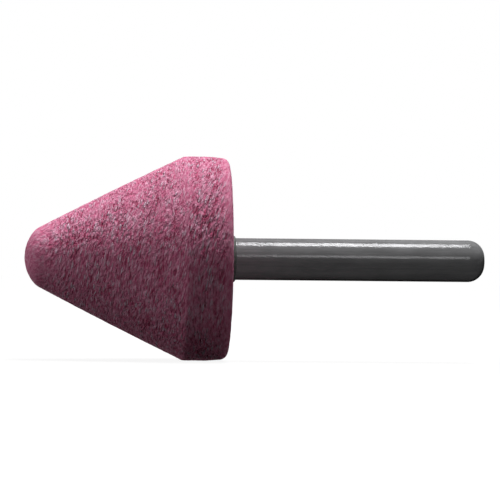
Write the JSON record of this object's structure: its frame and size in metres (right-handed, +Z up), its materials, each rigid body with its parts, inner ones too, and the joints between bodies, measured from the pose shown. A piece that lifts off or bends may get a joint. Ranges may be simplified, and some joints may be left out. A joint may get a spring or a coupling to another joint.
{
  "type": "mounted point",
  "caption": "Conical mounted point: pink vitrified abrasive cone with a ball tip and a short land, cemented on a plain round steel shank for a collet.",
  "frame": {"origin": "on the spindle axis, at the inner end of the bare shank, where it leaves the cement ring behind the head", "axes": "+X along the spindle axis from the head to the free end of the shank, +Z up, with the spindle level as the picture shows it; the picture looks along +Y"},
  "size_m": [0.07, 0.031, 0.031],
  "materials": {
    "abrasive": "coarse grained, matt",
    "steel": "ground and polished",
    "cement": "rough"
  },
  "bodies": {
    "root": {"abrasive_head": "abrasive", "spindle": "steel", "cement_bond": "cement"}
  },
  "joints": []
}
